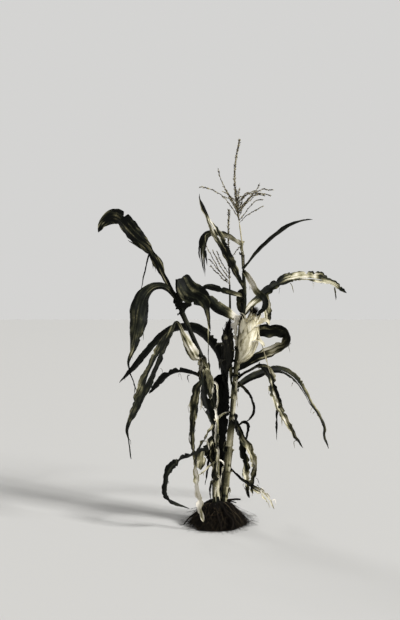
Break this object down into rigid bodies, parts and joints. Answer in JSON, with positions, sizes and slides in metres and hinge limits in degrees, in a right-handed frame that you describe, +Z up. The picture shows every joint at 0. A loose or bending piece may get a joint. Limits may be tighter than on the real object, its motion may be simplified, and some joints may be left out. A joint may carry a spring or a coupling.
{
  "type": "maize plant on its root ball",
  "caption": "Dug-up drying maize plant: a clump of leaning stalks with arching and broken leaves, husked ears and tassels, standing on a low root ball.",
  "frame": {"origin": "centre of the root ball's flat underside", "axes": "+Z up along the stalks, +X to the right and +Y away, as the plant is seen from its front"},
  "size_m": [1.0073, 0.4278, 1.482],
  "materials": {
    "root_and_soil": "matte",
    "stalk": "satin",
    "dark_leaf": "matte",
    "faded_leaf": "matte",
    "straw_leaf": "matte",
    "pale_husk": "matte",
    "dark_husk": "matte",
    "tassel": "matte"
  },
  "bodies": {
    "root": {"root_ball": "root_and_soil", "main_stalk": "stalk", "centre_stalk": "stalk", "left_stalk": "stalk", "flag_leaf_rise": "faded_leaf", "flag_leaf_fall": "faded_leaf", "upper_left_leaf": "dark_leaf", "right_blade": "dark_leaf", "right_short_leaf": "faded_leaf", "right_inner_leaf": "dark_leaf", "right_papery_leaf_rise": "faded_leaf", "right_papery_leaf_fall": "straw_leaf", "folded_leaf_rise": "dark_leaf", "folded_leaf_fall": "dark_leaf", "hanging_right_leaf_rise": "faded_leaf", "hanging_right_leaf_fall": "faded_leaf", "right_arch_leaf_rise": "dark_leaf", "right_arch_leaf_fall": "dark_leaf", "thin_broken_leaf": "dark_leaf", "left_upper_cross_leaf": "faded_leaf", "left_lower_cross_leaf": "dark_leaf", "left_long_leaf_rise": "dark_leaf", "left_long_leaf_fall": "dark_leaf", "far_left_leaf_rise": "dark_leaf", "far_left_leaf_fall": "dark_leaf", "left_drooping_leaf_rise": "dark_leaf", "left_drooping_leaf_fall": "dark_leaf", "creased_leaf_rise": "dark_leaf", "creased_leaf_fall": "dark_leaf", "broken_leaf_rise": "dark_leaf", "broken_leaf_fall": "dark_leaf", "left_low_leaf": "dark_leaf", "hanging_left_leaf": "faded_leaf", "left_loop_leaf_rise": "dark_leaf", "left_loop_leaf_fall": "dark_leaf", "pale_fallen_strip_rise": "straw_leaf", "pale_fallen_strip_fall": "straw_leaf", "pale_kinked_strip": "straw_leaf", "lower_right_leaf": "faded_leaf", "lower_right_inner_leaf": "dark_leaf", "lower_right_straggler": "faded_leaf", "centre_hanging_leaf": "dark_leaf", "inner_left_leaf": "dark_leaf", "inner_flap": "dark_leaf", "main_ear": "pale_husk", "centre_ear": "dark_husk", "left_ear": "dark_husk", "main_tassel": "tassel", "centre_tassel": "tassel"}
  },
  "joints": []
}
